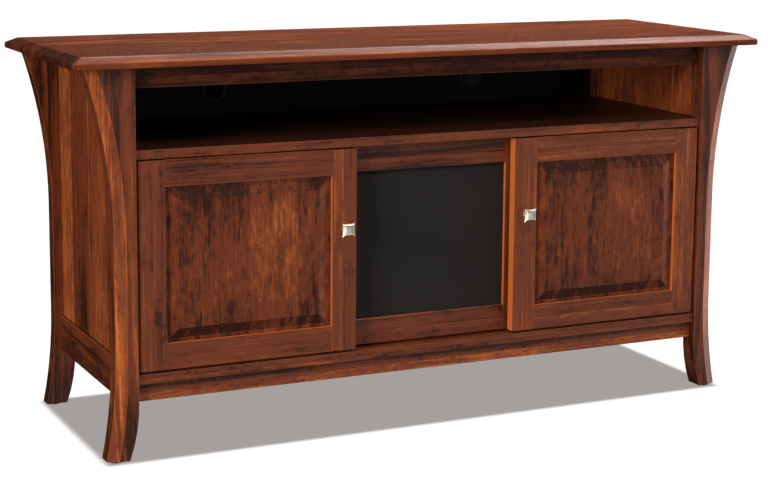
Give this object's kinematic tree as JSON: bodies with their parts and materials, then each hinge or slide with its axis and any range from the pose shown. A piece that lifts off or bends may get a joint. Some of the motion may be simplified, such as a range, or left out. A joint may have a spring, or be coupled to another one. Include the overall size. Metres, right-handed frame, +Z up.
{
  "type": "console television cabinet",
  "caption": "Low wooden media console on flared legs: bevelled top, open equipment bay, and a cloth-fronted sliding door behind two raised-panel sliding doors.",
  "frame": {"origin": "on the floor, under the middle of the top's outline", "axes": "+X along the width, to the viewer's right when facing the doors; the doors face -Y; +Z up"},
  "size_m": [1.6, 0.536, 0.821],
  "materials": {
    "cherry_top": "stained cherry, satin lacquer, grain along the width",
    "cherry_frame": "stained cherry, satin lacquer",
    "cherry_panel": "stained cherry, satin lacquer, upright grain",
    "stained_inside": "stained veneer, satin",
    "dark_back": "dark stained thin board, matt",
    "grille_board": "black painted hardboard, matt",
    "speaker_cloth": "near-black acoustic cloth, plain weave",
    "satin_nickel": "satin nickel plate",
    "zinc_screw": "zinc plate",
    "black_nylon": "black nylon, matt",
    "black_glide": "black plastic, matt"
  },
  "bodies": {
    "carcass": {"top_slab": "cherry_top", "leg_front_left": "cherry_frame", "foot_glide_front_left": "black_glide", "leg_front_right": "cherry_frame", "foot_glide_front_right": "black_glide", "leg_rear_left": "cherry_frame", "foot_glide_rear_left": "black_glide", "leg_rear_right": "cherry_frame", "foot_glide_rear_right": "black_glide", "front_top_rail": "cherry_frame", "front_apron": "cherry_frame", "rear_top_rail": "cherry_frame", "rear_apron": "cherry_frame", "door_sill": "cherry_frame", "bay_shelf": "cherry_frame", "side_apron_left": "cherry_frame", "side_panel_left": "cherry_panel", "side_apron_right": "cherry_frame", "side_panel_right": "cherry_panel", "bottom_panel": "stained_inside", "divider_left": "stained_inside", "divider_right": "stained_inside", "loose_shelf_left": "stained_inside", "loose_shelf_centre": "stained_inside", "loose_shelf_right": "stained_inside", "bay_back": "dark_back", "lower_back": "dark_back"},
    "left_door": {"door_left_stile_left": "cherry_frame", "door_left_stile_right": "cherry_frame", "door_left_rail_bottom": "cherry_frame", "door_left_rail_top": "cherry_frame", "door_left_panel": "cherry_panel", "door_left_knob": "satin_nickel", "door_left_knob_screw": "zinc_screw", "door_left_glide_left": "black_nylon", "door_left_guide_pin_left": "black_nylon", "door_left_glide_right": "black_nylon", "door_left_guide_pin_right": "black_nylon"},
    "right_door": {"door_right_stile_left": "cherry_frame", "door_right_stile_right": "cherry_frame", "door_right_rail_bottom": "cherry_frame", "door_right_rail_top": "cherry_frame", "door_right_panel": "cherry_panel", "door_right_knob": "satin_nickel", "door_right_knob_screw": "zinc_screw", "door_right_glide_left": "black_nylon", "door_right_guide_pin_left": "black_nylon", "door_right_glide_right": "black_nylon", "door_right_guide_pin_right": "black_nylon"},
    "centre_door": {"door_centre_stile_left": "cherry_frame", "door_centre_stile_right": "cherry_frame", "door_centre_rail_bottom": "cherry_frame", "door_centre_rail_top": "cherry_frame", "door_centre_cloth": "speaker_cloth", "door_centre_grille_ring": "grille_board", "door_centre_glide_left": "black_nylon", "door_centre_guide_pin_left": "black_nylon", "door_centre_glide_right": "black_nylon", "door_centre_guide_pin_right": "black_nylon"}
  },
  "joints": [
    {"name": "left_door_slide", "type": "slide", "parent": "carcass", "child": "left_door", "axis": [1, 0, 0], "range_m": [0, 0.186]},
    {"name": "right_door_slide", "type": "slide", "parent": "carcass", "child": "right_door", "axis": [1, 0, 0], "range_m": [-0.186, 0]},
    {"name": "centre_door_slide", "type": "slide", "parent": "carcass", "child": "centre_door", "axis": [1, 0, 0], "range_m": [-0.425, 0.425]}
  ]
}
